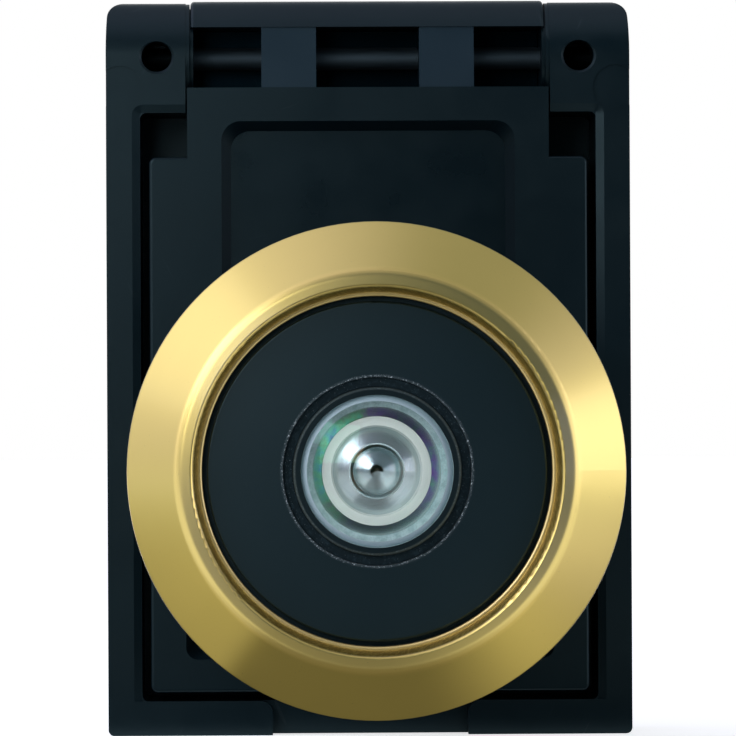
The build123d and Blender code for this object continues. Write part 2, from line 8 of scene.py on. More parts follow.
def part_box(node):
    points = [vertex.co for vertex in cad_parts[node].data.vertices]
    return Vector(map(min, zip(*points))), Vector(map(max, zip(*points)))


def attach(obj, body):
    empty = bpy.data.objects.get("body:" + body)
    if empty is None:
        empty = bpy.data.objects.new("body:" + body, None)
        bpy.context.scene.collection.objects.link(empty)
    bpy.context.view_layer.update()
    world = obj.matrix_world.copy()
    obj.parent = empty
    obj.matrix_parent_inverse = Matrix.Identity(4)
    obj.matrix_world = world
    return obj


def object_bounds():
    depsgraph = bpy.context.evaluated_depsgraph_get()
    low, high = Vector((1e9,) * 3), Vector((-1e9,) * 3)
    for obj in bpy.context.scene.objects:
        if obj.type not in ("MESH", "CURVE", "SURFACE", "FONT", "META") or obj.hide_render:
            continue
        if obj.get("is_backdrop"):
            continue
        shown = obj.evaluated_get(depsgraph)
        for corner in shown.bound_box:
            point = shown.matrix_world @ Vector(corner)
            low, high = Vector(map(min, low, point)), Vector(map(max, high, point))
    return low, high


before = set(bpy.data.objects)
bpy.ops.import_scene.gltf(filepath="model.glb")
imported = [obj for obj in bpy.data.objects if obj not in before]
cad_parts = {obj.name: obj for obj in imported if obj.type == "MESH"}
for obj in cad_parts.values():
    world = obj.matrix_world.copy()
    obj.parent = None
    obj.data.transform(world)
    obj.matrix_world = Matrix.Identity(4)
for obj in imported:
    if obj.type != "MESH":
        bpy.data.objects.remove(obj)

bl_info = {
    "name": "Door Viewer Finish",
    "version": (1, 0, 0),
    "blender": (4, 5, 0),
    "location": "View3D > Sidebar > Viewer",
    "description": "Dresses a door viewer: turned brass, black mouldings, coated lenses and its thread",
    "category": "Object",
}

MM = 0.001
# Half the width of a soft border between two finishes
SOFT = 0.05 * MM
FLOAT, VECTOR, COLOUR = "NodeSocketFloat", "NodeSocketVector", "NodeSocketColor"
POSITION_INPUT = ("Position", VECTOR, None)


# Building blocks for node trees

def add_node(tree, kind, settings=None, inputs=None):
    """Adds a node, sets its properties, and sets or links its inputs by name or number."""
    node = tree.nodes.new(kind)
    for name, value in (settings or {}).items():
        setattr(node, name, value)
    for name, value in (inputs or {}).items():
        set_input(tree, node.inputs[name], value)
    return node


def set_input(tree, socket, value):
    """Links a socket to the input, or sets its value."""
    if isinstance(value, bpy.types.NodeSocket):
        tree.links.new(value, socket)
    elif socket.type == "RGBA":
        socket.default_value = (*value[:3], 1.0)
    else:
        socket.default_value = value


def calculate(tree, operation, *values, clamp=False):
    """The result of a math node on numbers or sockets."""
    settings = {"operation": operation, "use_clamp": clamp}
    return add_node(tree, "ShaderNodeMath", settings, dict(enumerate(values))).outputs[0]


def ramp(tree, value, low, high, start=0.0, end=1.0):
    """A smooth step of the value from low to high, going from start to end."""
    settings = {"interpolation_type": "SMOOTHSTEP", "clamp": True}
    inputs = {"Value": value, "From Min": low, "From Max": high, "To Min": start, "To Max": end}
    return add_node(tree, "ShaderNodeMapRange", settings, inputs).outputs["Result"]


def tint(tree, factor, first, second):
    """A colour between two others, by a factor."""
    inputs = {0: factor, 6: first, 7: second}
    return add_node(tree, "ShaderNodeMix", {"data_type": "RGBA"}, inputs).outputs[2]


def noise(tree, position, scale, detail=2.0, roughness=0.5):
    """Noise from 0 to 1 at a scale in features per metre."""
    inputs = {"Vector": position, "Scale": scale, "Detail": detail, "Roughness": roughness}
    return add_node(tree, "ShaderNodeTexNoise", {}, inputs).outputs["Fac"]


def stretched(tree, position, label, values):
    """The position turned or scaled, for a pattern that runs in one direction."""
    inputs = {"Vector": position, label: values}
    return add_node(tree, "ShaderNodeMapping", {}, inputs).outputs[0]


def split(tree, vector):
    """The three parts of a vector."""
    return add_node(tree, "ShaderNodeSeparateXYZ", {}, {0: vector}).outputs


def join(tree, *parts):
    """A vector from its three parts."""
    return add_node(tree, "ShaderNodeCombineXYZ", {}, dict(enumerate(parts))).outputs[0]


def object_position(tree):
    """The point on the surface in the part's own frame, in metres."""
    return add_node(tree, "ShaderNodeTexCoord").outputs["Object"]


def new_group(name, inputs, outputs):
    """An empty shader node group with named sockets: its tree, its inputs and its output node."""
    group = bpy.data.node_groups.new(name, "ShaderNodeTree")
    for label, kind, default in inputs:
        socket = group.interface.new_socket(label, in_out="INPUT", socket_type=kind)
        if default is not None:
            socket.default_value = default
    for label, kind in outputs:
        group.interface.new_socket(label, in_out="OUTPUT", socket_type=kind)
    return group, group.nodes.new("NodeGroupInput").outputs, group.nodes.new("NodeGroupOutput")


def put_out(group, result, values):
    """Links a group's results to its output sockets."""
    for label, value in values.items():
        group.links.new(value, result.inputs[label])


def use_group(tree, name, inputs):
    """Places a shader node group and gives its outputs."""
    node = add_node(tree, "ShaderNodeGroup", {"node_tree": bpy.data.node_groups[name]}, inputs)
    return node.outputs


def socket_name(label):
    """The name of a shader's socket, from a keyword."""
    return label.replace("_", " ").title().replace("Ior", "IOR")


def new_material(name, **values):
    """A material with one Principled BSDF, whose plain values are set on its sockets."""
    material = bpy.data.materials.new(name)
    material.use_nodes = True
    tree = material.node_tree
    tree.nodes.clear()
    output = tree.nodes.new("ShaderNodeOutputMaterial")
    shader = tree.nodes.new("ShaderNodeBsdfPrincipled")
    tree.links.new(shader.outputs["BSDF"], output.inputs["Surface"])
    for label, value in values.items():
        set_input(tree, shader.inputs[socket_name(label)], value)
    return material, tree, shader


def feed(tree, shader, **values):
    """Links values that change over the surface to the shader."""
    for label, value in values.items():
        tree.links.new(value, shader.inputs[socket_name(label)])


def bump(tree, shader, height, strength, distance):
    """Feeds a height to the shader's normal."""
    inputs = {"Height": height, "Strength": strength, "Distance": distance}
    feed(tree, shader, normal=add_node(tree, "ShaderNodeBump", {}, inputs).outputs["Normal"])


def dress(node_names, material):
    """Gives the material to CAD nodes."""
    for name in node_names:
        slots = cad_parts[name].data.materials
        slots.clear()
        slots.append(material)


# Shared surface effects

def make_radius_group():
    """How far a point is from the tube's axis, and its direction round it."""
    outputs = [("Radius", FLOAT), ("Depth", FLOAT), ("Angle", FLOAT), ("Unrolled", VECTOR)]
    group, given, result = new_group("Turned Position", [POSITION_INPUT], outputs)
    x, y, z = split(group, given["Position"])
    squares = [calculate(group, "POWER", place, 2.0) for place in (x, z)]
    radius = calculate(group, "SQRT", calculate(group, "ADD", *squares))
    # The unrolled position changes little round the axis, so a pattern on it makes long rings
    safe = calculate(group, "MAXIMUM", radius, 1e-6)
    drift = 0.6 * MM
    across, upward = (
        calculate(group, "MULTIPLY", calculate(group, "DIVIDE", place, safe), drift) for place in (x, z)
    )
    values = {
        "Radius": radius,
        "Depth": y,
        "Angle": calculate(group, "ARCTAN2", z, x),
        "Unrolled": join(group, calculate(group, "ADD", radius, across), y, upward),
    }
    put_out(group, result, values)


def make_turned_group():
    """Fine rings left by the lathe, with slow drifts of polish between them."""
    inputs = [
        POSITION_INPUT, ("Marks per Metre", FLOAT, 5000.0), ("Roughness", FLOAT, 0.3), ("Spread", FLOAT, 0.1)
    ]
    group, given, result = new_group("Lathe Marks", inputs, [("Height", FLOAT), ("Roughness", FLOAT)])
    unrolled = from_axis(group, given["Position"])["Unrolled"]
    fine = noise(group, unrolled, given["Marks per Metre"], 3.0, 0.6)
    slow = noise(group, given["Position"], 120.0, 2.0)
    drift = calculate(group, "MULTIPLY_ADD", slow, 0.6, calculate(group, "MULTIPLY", fine, 0.4))
    centred = calculate(group, "SUBTRACT", drift, 0.5)
    rough = calculate(group, "MULTIPLY_ADD", centred, given["Spread"], given["Roughness"])
    put_out(group, result, {"Height": fine, "Roughness": rough})


def make_moulded_group():
    """The fine grain of a moulded face, with smudges and a slow drift of tone."""
    inputs = [
        POSITION_INPUT, ("Grain per Metre", FLOAT, 5000.0), ("Roughness", FLOAT, 0.4), ("Spread", FLOAT, 0.15)
    ]
    outputs = [("Height", FLOAT), ("Roughness", FLOAT), ("Tone", FLOAT)]
    group, given, result = new_group("Moulded Grain", inputs, outputs)
    position = given["Position"]
    grain = noise(group, position, given["Grain per Metre"], 3.0, 0.6)
    smudge = noise(group, position, 110.0, 4.0, 0.65)
    tone = noise(group, stretched(group, position, "Scale", (0.25, 0.25, 1.0)), 45.0, 3.0)
    centred = calculate(group, "SUBTRACT", smudge, 0.5)
    rough = calculate(group, "MULTIPLY_ADD", centred, given["Spread"], given["Roughness"])
    put_out(group, result, {"Height": grain, "Roughness": rough, "Tone": tone})


def make_edge_glint_group():
    """A pale, speckled line round the axis at one radius: a painted highlight of an edge, broken by worn
    specks.
    """
    inputs = [
        POSITION_INPUT, ("Edge Radius", FLOAT, 0.01), ("Width", FLOAT, 0.0001), ("Speckle", FLOAT, 0.7)
    ]
    group, given, result = new_group("Worn Edge Glint", inputs, [("Mask", FLOAT)])
    radius = from_axis(group, given["Position"])["Radius"]
    off = calculate(group, "ABSOLUTE", calculate(group, "SUBTRACT", radius, given["Edge Radius"]))
    near = calculate(group, "SUBTRACT", 1.0, calculate(group, "DIVIDE", off, given["Width"]), clamp=True)
    grit = ramp(group, noise(group, given["Position"], 5200.0, 2.0, 0.7), 0.56, 0.66)
    smooth = calculate(group, "SUBTRACT", 1.0, grit)
    kept = calculate(group, "SUBTRACT", 1.0, calculate(group, "MULTIPLY", given["Speckle"], smooth))
    put_out(group, result, {"Mask": calculate(group, "MULTIPLY", near, kept)})


def make_scratch_group():
    """Sparse hair scratches and dust on a face that lies across the tube's axis."""
    inputs = [POSITION_INPUT, ("Amount", FLOAT, 0.5)]
    group, given, result = new_group("Hair Scratches", inputs, [("Mask", FLOAT), ("Dust", FLOAT)])
    found = None
    for turn, scale in ((0.4, 900.0), (1.9, 700.0), (2.7, 1100.0)):
        laid = stretched(group, given["Position"], "Rotation", (0.0, turn, 0.0))
        lines = noise(group, stretched(group, laid, "Scale", (1.0, 0.0, 0.12)), scale, 1.0)
        thin = ramp(group, lines, 0.74, 0.79)
        found = thin if found is None else calculate(group, "MAXIMUM", found, thin)
    specks = ramp(group, noise(group, given["Position"], 4200.0, 1.0), 0.76, 0.8)
    put_out(group, result, {"Mask": calculate(group, "MULTIPLY", found, given["Amount"]), "Dust": specks})


def make_box_group():
    """One inside a box of the part's own frame, and zero outside."""
    inputs = [POSITION_INPUT, ("Low", VECTOR, None), ("High", VECTOR, None)]
    group, given, result = new_group("Inside Box", inputs, [("Mask", FLOAT)])
    mask = 1.0
    for place, low, high in zip(*(split(group, given[name]) for name in ("Position", "Low", "High"))):
        mask = calculate(group, "MULTIPLY", mask, calculate(group, "GREATER_THAN", place, low))
        mask = calculate(group, "MULTIPLY", mask, calculate(group, "LESS_THAN", place, high))
    put_out(group, result, {"Mask": mask})


def make_fringe_highlight_group():
    """The colours that a thin coating shows, in broad patches round the axis, with painted highlights toward
    the upper left, the right and the left.
    """
    inputs = [POSITION_INPUT, ("Strength", FLOAT, 1.0)]
    group, given, result = new_group("Coating Fringes And Highlights", inputs, [("Color", COLOUR)])
    angle = from_axis(group, given["Position"])["Angle"]
    wander = noise(group, given["Position"], 850.0, 3.0)

    def highlight_lobe(centre, sharp):
        """A painted highlight in one direction from the axis, in radians."""
        wave = calculate(group, "COSINE", calculate(group, "SUBTRACT", angle, centre))
        return calculate(group, "POWER", calculate(group, "MULTIPLY_ADD", wave, 0.5, 0.5), sharp)

    # Painted highlights: the coating's colours brighter toward the upper left, the right and the left
    upper = highlight_lobe(2.45, 6.0)
    bright = calculate(group, "MULTIPLY_ADD", upper, 0.75, 0.02)
    for centre, sharp, strength in ((0.0, 10.0, 0.40), (3.4, 12.0, 0.22)):
        bright = calculate(group, "MULTIPLY_ADD", highlight_lobe(centre, sharp), strength, bright)
    thickness = calculate(group, "MULTIPLY_ADD", upper, 0.45, wander)
    thickness = calculate(group, "MULTIPLY_ADD", highlight_lobe(3.5, 9.0), 0.35, thickness)
    # Red, green and blue each come and go at their own rate as the coating thickens
    waves = ((0.9, 0.475, 0.26, 0.13), (1.29, 0.775, 0.5, 0.42), (1.6, 0.2, 0.62, 0.25))
    channels = {}
    for channel, (order, phase, middle, swing) in enumerate(waves):
        turn = calculate(group, "MULTIPLY_ADD", thickness, order * math.tau, phase * math.tau)
        level = calculate(group, "MULTIPLY_ADD", calculate(group, "COSINE", turn), swing, middle)
        level = calculate(group, "MULTIPLY", level, bright)
        channels[channel] = calculate(group, "MULTIPLY", level, given["Strength"])
    colour = add_node(group, "ShaderNodeCombineColor", {}, channels)
    put_out(group, result, {"Color": colour.outputs[0]})


# The effects as materials use them

def from_axis(tree, position):
    """Radius, depth and angle of the surface about the tube's axis."""
    return use_group(tree, "Turned Position", {"Position": position})


def lathe_marks(tree, position, per_metre, roughness, spread):
    """The height and the roughness of a turned face."""
    inputs = {"Position": position, "Marks per Metre": per_metre, "Roughness": roughness, "Spread": spread}
    return use_group(tree, "Lathe Marks", inputs)


def moulded_grain(tree, position, per_metre, roughness, spread):
    """The height, the roughness and the tone of a moulded face."""
    inputs = {"Position": position, "Grain per Metre": per_metre, "Roughness": roughness, "Spread": spread}
    return use_group(tree, "Moulded Grain", inputs)


def worn_edge_glint(tree, position, radius, width, speckle):
    """A mask for a speckled line at a radius, where an edge's highlight is painted."""
    inputs = {"Position": position, "Edge Radius": radius, "Width": width, "Speckle": speckle}
    return use_group(tree, "Worn Edge Glint", inputs)["Mask"]


def inside_box(tree, position, low, high):
    """A mask for a box between two corners in millimetres."""
    inputs = {"Position": position, "Low": Vector(low) * MM, "High": Vector(high) * MM}
    return use_group(tree, "Inside Box", inputs)["Mask"]


# Materials

def brass_material(settings):
    """Satin turned brass under clear lacquer, with a bare wall inside the ring darkened by grime and painted
    shade.

    The soft shoulder inside the ring's crest is a bump.
    """
    crest_start, shoulder_end = 22.0 * MM, 23.5 * MM
    shoulder_blend, shoulder_slope, mark_depth = 0.4 * MM, 0.38, 0.00016 * MM
    material, tree, shader = new_material("Satin Brass", metallic=1.0, coat_roughness=0.16)
    position = object_position(tree)
    marks = lathe_marks(tree, position, 3500.0, settings.brass_roughness, 0.03)
    radius = from_axis(tree, position)["Radius"]

    # Where the ring's inner wall, its crest and its lip on the disc are
    inside = ramp(tree, radius, crest_start + SOFT, crest_start - SOFT)
    wall = calculate(tree, "MULTIPLY", inside, ramp(tree, radius, 21.42 * MM, 21.5 * MM))
    begun = ramp(tree, radius, crest_start - 2.0 * SOFT, crest_start + 2.0 * SOFT)
    crest = calculate(tree, "MULTIPLY", ramp(tree, radius, 24.6 * MM, 23.9 * MM), begun)
    lip = ramp(tree, radius, 21.46 * MM, 21.40 * MM)

    # Grime and painted shade of the recess darken the wall; slanted scrapes rub some of it off
    slanted = stretched(tree, position, "Rotation", (0.0, 0.5, 0.35))
    drawn = stretched(tree, slanted, "Scale", (1.0, 0.2, 0.2))
    rubbed = ramp(tree, noise(tree, drawn, 3600.0, 3.0, 0.7), 0.42, 0.62)
    grime_and_shade = calculate(tree, "MULTIPLY", wall, ramp(tree, rubbed, 0.0, 1.0, 0.85, 0.25))
    dust = use_group(tree, "Hair Scratches", {"Position": position, "Amount": 1.0})["Dust"]
    base = Vector(settings.brass_colour)
    colour = tint(tree, ramp(tree, noise(tree, position, 60.0, 3.0), 0.3, 0.7), base * 0.95, base)
    # Tints: the crest, the wall's grime and painted shade, the lip, and dust
    for mask, shade in (
        (crest, (0.86, 0.64, 0.19)),
        (grime_and_shade, (0.42, 0.27, 0.04)),
        (lip, (0.84, 0.63, 0.25)),
        (calculate(tree, "MULTIPLY", dust, 0.3), (0.25, 0.19, 0.08)),
    ):
        colour = tint(tree, mask, colour, shade)
    bare = calculate(tree, "MAXIMUM", wall, lip)
    rough = calculate(tree, "MULTIPLY_ADD", bare, 0.15, marks["Roughness"])
    lacquer = calculate(tree, "SUBTRACT", 1.0, wall)
    feed(tree, shader, base_color=colour, roughness=rough, coat_weight=lacquer)

    height = calculate(tree, "MULTIPLY_ADD", grime_and_shade, -0.8, marks["Height"])
    short = calculate(tree, "SUBTRACT", shoulder_end, calculate(tree, "MAXIMUM", radius, crest_start))
    short = calculate(tree, "SMOOTH_MAX", short, 0.0, shoulder_blend)
    shoulder = calculate(tree, "MULTIPLY", short, -shoulder_slope)
    bump(tree, shader, calculate(tree, "MULTIPLY_ADD", height, mark_depth, shoulder), 1.0, 1.0)
    return material


def housing_material(settings):
    """Black moulding with a faint grain, scuffs, a painted sheen on the bridges and painted shade in the deep
    pockets.
    """
    material, tree, shader = new_material(
        "Black Moulding", specular_ior_level=0.34, specular_tint=(0.64, 0.94, 1.0), ior=1.5
    )
    position = object_position(tree)
    grain = moulded_grain(tree, position, 4500.0, settings.plastic_roughness, 0.30)
    base = Vector(settings.plastic_colour)
    colour = tint(tree, grain["Tone"], base * 0.5, base * 1.5)
    scratches = use_group(tree, "Hair Scratches", {"Position": position, "Amount": 0.6})["Mask"]
    colour = tint(tree, calculate(tree, "MULTIPLY", scratches, 0.12), colour, (0.10, 0.13, 0.14))
    smudged = ramp(tree, grain["Tone"], 0.2, 0.8, 0.7, 1.0)
    # Painted sheen: the bridges lighter in smudges, as where their upward lean catches light
    bridge_width = 7.0
    for left in (-13.6, 6.6):
        bridge_sheen = inside_box(tree, position, (left, 43.9, 48.5), (left + bridge_width, 46.8, 56.25))
        colour = tint(tree, calculate(tree, "MULTIPLY", bridge_sheen, smudged), colour, (0.015, 0.028, 0.040))
    window_floor = inside_box(tree, position, (-18.7, 46.0, 20.0), (18.7, 46.4, 44.2))
    rough = calculate(tree, "MULTIPLY_ADD", window_floor, -0.07, grain["Roughness"])
    # Painted shade in the deep pockets: a metal with the moulding's near black colour reflects next to
    # nothing, as a deep pocket does
    pockets = inside_box(tree, position, (-22.8, 52.6, 48.4), (22.8, 56.0, 56.35))
    feed(tree, shader, base_color=colour, roughness=rough, metallic=pockets)
    cut = calculate(tree, "MULTIPLY", scratches, 0.6)
    bump(tree, shader, calculate(tree, "SUBTRACT", grain["Height"], cut), 0.12, 0.03 * MM)
    return material


def disc_material(settings):
    """Glossy black moulding with a pale speckled line round the counterbore, a painted highlight of its edge
    with worn specks.
    """
    material, tree, shader = new_material("Glossy Black", specular_tint=(0.68, 0.94, 1.0), ior=1.58)
    position = object_position(tree)
    grain = moulded_grain(tree, position, 2500.0, settings.disc_roughness, 0.06)
    # Painted highlight: a pale speckled line where the counterbore's edge catches light
    edge = worn_edge_glint(tree, position, 11.4 * MM, 0.26 * MM, 0.95)
    base = Vector(settings.disc_colour)
    colour = tint(tree, grain["Tone"], base * 0.85, base * 1.15)
    colour = tint(tree, edge, colour, (0.62, 0.70, 0.71))
    feed(tree, shader, base_color=colour, roughness=grain["Roughness"])
    bump(tree, shader, grain["Height"], 0.02, 0.02 * MM)
    return material


def cell_material(settings):
    """Blackened outside with a pale line on its rim, a painted highlight with worn specks; bare turned alloy
    and a coated seat with painted highlights inside.
    """
    material, tree, shader = new_material("Blackened Cell", specular_tint=(0.7, 0.95, 1.0), ior=1.5)
    position = object_position(tree)
    marks = lathe_marks(tree, position, 5200.0, 0.36, 0.15)
    turned = from_axis(tree, position)
    # Painted highlight: a pale speckled line on the rim's edge, with worn specks
    rim = worn_edge_glint(tree, position, 9.92 * MM, 0.2 * MM, 0.7)
    outside = tint(tree, rim, Vector(settings.disc_colour) * 0.6, (0.15, 0.20, 0.21))
    # The bare inside of the cell, between two depths behind the front lens
    bare = calculate(tree, "LESS_THAN", turned["Radius"], 9.3 * MM)
    for side, depth in (("GREATER_THAN", -4.3 * MM), ("LESS_THAN", -1.0 * MM)):
        bare = calculate(tree, "MULTIPLY", bare, calculate(tree, side, turned["Depth"], depth))
    # The coating's colours on the seat, with painted highlights
    fringes_and_highlights = use_group(tree, "Coating Fringes And Highlights", {"Position": position})["Color"]
    alloy = tint(tree, noise(tree, position, 2200.0, 3.0, 0.6), (0.26, 0.38, 0.38), (0.44, 0.56, 0.56))
    inside = tint(tree, ramp(tree, turned["Radius"], 7.2 * MM, 7.4 * MM), fringes_and_highlights, alloy)
    feed(tree, shader, base_color=tint(tree, bare, outside, inside), roughness=marks["Roughness"])
    bump(tree, shader, marks["Height"], 0.15, 0.02 * MM)
    return material


def rubber_material():
    """Matt black rubber with a dusty bloom and specks."""
    material, tree, shader = new_material(
        "Soft Black", specular_ior_level=0.3, specular_tint=(0.66, 0.94, 1.0), ior=1.5
    )
    position = object_position(tree)
    grain = moulded_grain(tree, position, 7000.0, 0.75, 0.2)
    bloom = ramp(tree, noise(tree, position, 2500.0, 2.0), 0.45, 0.8)
    colour = tint(tree, bloom, (0.003, 0.008, 0.011), (0.013, 0.026, 0.033))
    specks = ramp(tree, noise(tree, position, 5600.0, 2.0, 0.7), 0.67, 0.72)
    colour = tint(tree, specks, colour, (0.20, 0.26, 0.28))
    feed(tree, shader, base_color=colour, roughness=grain["Roughness"])
    bump(tree, shader, grain["Height"], 0.3, 0.04 * MM)
    return material


def plain_brass_material():
    """Turned brass without lacquer, a little dulled."""
    material, tree, shader = new_material("Plain Brass", metallic=1.0)
    position = object_position(tree)
    marks = lathe_marks(tree, position, 4000.0, 0.32, 0.2)
    colour = tint(tree, noise(tree, position, 300.0, 4.0), (0.50, 0.36, 0.14), (0.74, 0.57, 0.27))
    feed(tree, shader, base_color=colour, roughness=marks["Roughness"])
    bump(tree, shader, marks["Height"], 0.2, 0.02 * MM)
    return material


def glass_material(name, colour, bevel_radius):
    """Coated optical glass, ground dull outside bevel_radius, which lets lamp light through."""
    material, tree, shader = new_material(
        name, transmission_weight=1.0, ior=1.49, thin_film_thickness=380.0, thin_film_ior=1.38
    )
    position = object_position(tree)
    ground = ramp(tree, from_axis(tree, position)["Radius"], bevel_radius - SOFT, bevel_radius + SOFT)
    dust = noise(tree, position, 3000.0, 2.0)
    haze = ramp(tree, dust, 0.62, 0.8, 0.0, 0.015)
    rough = calculate(tree, "MULTIPLY_ADD", ground, 0.5, haze)
    feed(tree, shader, base_color=tint(tree, dust, Vector(colour) * 0.97, colour), roughness=rough)
    clear = add_node(tree, "ShaderNodeBsdfTransparent", {}, {"Color": (0.93, 0.96, 0.96)})
    shadow = add_node(tree, "ShaderNodeLightPath").outputs["Is Shadow Ray"]
    mix = add_node(tree, "ShaderNodeMixShader", {}, {0: shadow, 1: shader.outputs[0], 2: clear.outputs[0]})
    tree.links.new(mix.outputs[0], tree.nodes["Material Output"].inputs["Surface"])
    return material


def spacer_material():
    """Cream satin plastic with faint turning marks."""
    material, tree, shader = new_material("Cream Spacer", ior=1.5)
    position = object_position(tree)
    marks = lathe_marks(tree, position, 5200.0, 0.4, 0.1)
    colour = tint(tree, noise(tree, position, 300.0, 2.0), (0.84, 0.90, 0.82), (0.95, 0.97, 0.92))
    feed(tree, shader, base_color=colour, roughness=marks["Roughness"])
    bump(tree, shader, marks["Height"], 0.1, 0.02 * MM)
    return material


def alloy_material():
    """Bright turned alloy, brighter at its nose, with a dull pocket wall round the middle lens."""
    material, tree, shader = new_material("Turned Alloy", anisotropic=0.92, anisotropic_rotation=0.25)
    position = object_position(tree)
    marks = lathe_marks(tree, position, 6500.0, 0.25, 0.12)
    radius = from_axis(tree, position)["Radius"]
    colour = tint(tree, marks["Height"], (0.50, 0.60, 0.64), (0.80, 0.88, 0.90))
    colour = tint(tree, ramp(tree, radius, 3.4 * MM, 3.2 * MM), colour, (0.90, 0.98, 1.0))
    pocket = calculate(tree, "COMPARE", radius, 3.3 * MM, 0.35 * MM)
    colour = tint(tree, pocket, colour, (0.62, 0.74, 0.76))
    grooves = add_node(tree, "ShaderNodeTangent", {"direction_type": "RADIAL", "axis": "Y"}).outputs[0]
    metal = calculate(tree, "SUBTRACT", 1.0, pocket)
    feed(tree, shader, base_color=colour, metallic=metal, roughness=marks["Roughness"], tangent=grooves)
    bump(tree, shader, marks["Height"], 0.2, 0.03 * MM)
    return material


def ground_material():
    """The dull pale surface of ground glass, mottled by what it holds."""
    material, tree, shader = new_material("Ground Glass", ior=1.49, coat_weight=0.3, coat_roughness=0.3)
    position = object_position(tree)
    grit = noise(tree, position, 5200.0, 3.0, 0.7)
    cloud = noise(tree, position, 900.0, 2.0)
    mix = calculate(tree, "MULTIPLY_ADD", grit, 0.5, calculate(tree, "MULTIPLY", cloud, 0.5))
    bevel = tint(tree, mix, (0.34, 0.46, 0.49), (0.52, 0.64, 0.67))
    back = tint(tree, ramp(tree, mix, 0.35, 0.65), (0.34, 0.52, 0.54), (0.58, 0.76, 0.78))
    behind = ramp(tree, from_axis(tree, position)["Depth"], -3.0 * MM, -2.9 * MM)
    rough = ramp(tree, grit, 0.2, 0.8, 0.42, 0.6)
    feed(tree, shader, base_color=tint(tree, behind, bevel, back), roughness=rough)
    bump(tree, shader, grit, 0.15, 0.02 * MM)
    return material


def steel_material():
    """Blackened steel rod with drawing lines, with painted shade on its ends inside the cover."""
    material, tree, shader = new_material("Dark Steel", metallic=1.0)
    position = object_position(tree)
    drawn = noise(tree, stretched(tree, position, "Scale", (0.05, 1.0, 1.0)), 5000.0, 3.0)
    colour = tint(tree, drawn, (0.045, 0.066, 0.078), (0.085, 0.115, 0.135))
    # Painted shade: the rod darkened where its ends lie inside the cover
    ends = ramp(tree, calculate(tree, "ABSOLUTE", split(tree, position)[0]), 23.2 * MM, 23.6 * MM)
    colour = tint(tree, ends, colour, (0.006, 0.009, 0.010))
    feed(tree, shader, base_color=colour, roughness=ramp(tree, drawn, 0.3, 0.7, 0.54, 0.68))
    bump(tree, shader, drawn, 0.1, 0.02 * MM)
    return material


def nylon_material():
    """Natural nylon, slightly waxy."""
    material, tree, shader = new_material("White Nylon", subsurface_weight=0.1, ior=1.53)
    grain = moulded_grain(tree, object_position(tree), 5000.0, 0.5, 0.15)
    colour = tint(tree, grain["Tone"], (0.72, 0.71, 0.67), (0.8, 0.79, 0.76))
    feed(tree, shader, base_color=colour, roughness=grain["Roughness"])
    bump(tree, shader, grain["Height"], 0.1, 0.02 * MM)
    return material


# What a user would change

class FinishSettings(bpy.types.PropertyGroup):
    """Colours and finishes of the viewer."""

    brass_colour: bpy.props.FloatVectorProperty(
        name="Brass", description="Colour of the turned brass", subtype="COLOR",
        default=(0.80, 0.615, 0.165), min=0.0, max=1.0
    )
    brass_roughness: bpy.props.FloatProperty(
        name="Brass Roughness", description="How satin the brass is", subtype="FACTOR",
        default=0.31, min=0.0, max=1.0
    )
    plastic_colour: bpy.props.FloatVectorProperty(
        name="Moulding", description="Colour of the housing", subtype="COLOR",
        default=(0.002, 0.007, 0.010), min=0.0, max=1.0
    )
    plastic_roughness: bpy.props.FloatProperty(
        name="Moulding Roughness", description="How satin the housing is", subtype="FACTOR",
        default=0.37, min=0.0, max=1.0
    )
    disc_colour: bpy.props.FloatVectorProperty(
        name="Disc", description="Colour of the glossy disc", subtype="COLOR",
        default=(0.002, 0.009, 0.012), min=0.0, max=1.0
    )
    disc_roughness: bpy.props.FloatProperty(
        name="Disc Roughness", description="How glossy the disc is", subtype="FACTOR",
        default=0.36, min=0.0, max=1.0
    )


class ThreadSettings(bpy.types.PropertyGroup):
    """Sizes of the thread on the eyepiece tube."""

    pitch: bpy.props.FloatProperty(
        name="Pitch", description="Travel of one turn", unit="LENGTH",
        default=2.0 * MM, min=0.5 * MM
    )
    root_radius: bpy.props.FloatProperty(
        name="Root Radius", description="Radius of the tube under the thread", unit="LENGTH",
        default=22.7 * MM, min=1.0 * MM
    )
    height: bpy.props.FloatProperty(
        name="Height", description="How far the thread stands out", unit="LENGTH",
        default=0.22 * MM, min=0.01 * MM
    )
    start: bpy.props.FloatProperty(
        name="Start", description="Where the thread begins along the tube", unit="LENGTH",
        default=11.6 * MM
    )
    end: bpy.props.FloatProperty(
        name="End", description="Where the thread runs out along the tube", unit="LENGTH",
        default=42.6 * MM
    )
    steps: bpy.props.IntProperty(
        name="Steps", description="Straight pieces in each turn", default=64, min=12, max=200
    )


class LensSettings(bpy.types.PropertyGroup):
    """Sizes of the ground surfaces of the lenses."""

    bevel: bpy.props.FloatProperty(
        name="Bevel", description="Width of the ground bevel", unit="LENGTH",
        default=0.7 * MM, min=0.1 * MM
    )
    dome_rise: bpy.props.FloatProperty(
        name="Dome Rise", description="How far the dome stands out of the bevel", unit="LENGTH",
        default=1.668 * MM
    )
    hollow_mouth: bpy.props.FloatProperty(
        name="Hollow Mouth", description="Radius of the hollow's mouth", unit="LENGTH",
        default=7.3 * MM
    )
    skin: bpy.props.FloatProperty(
        name="Skin", description="How far the ground surface lies off the glass", unit="LENGTH",
        default=0.01 * MM
    )
    steps: bpy.props.IntProperty(
        name="Steps", description="Straight pieces round the lens", default=128, min=24, max=512
    )


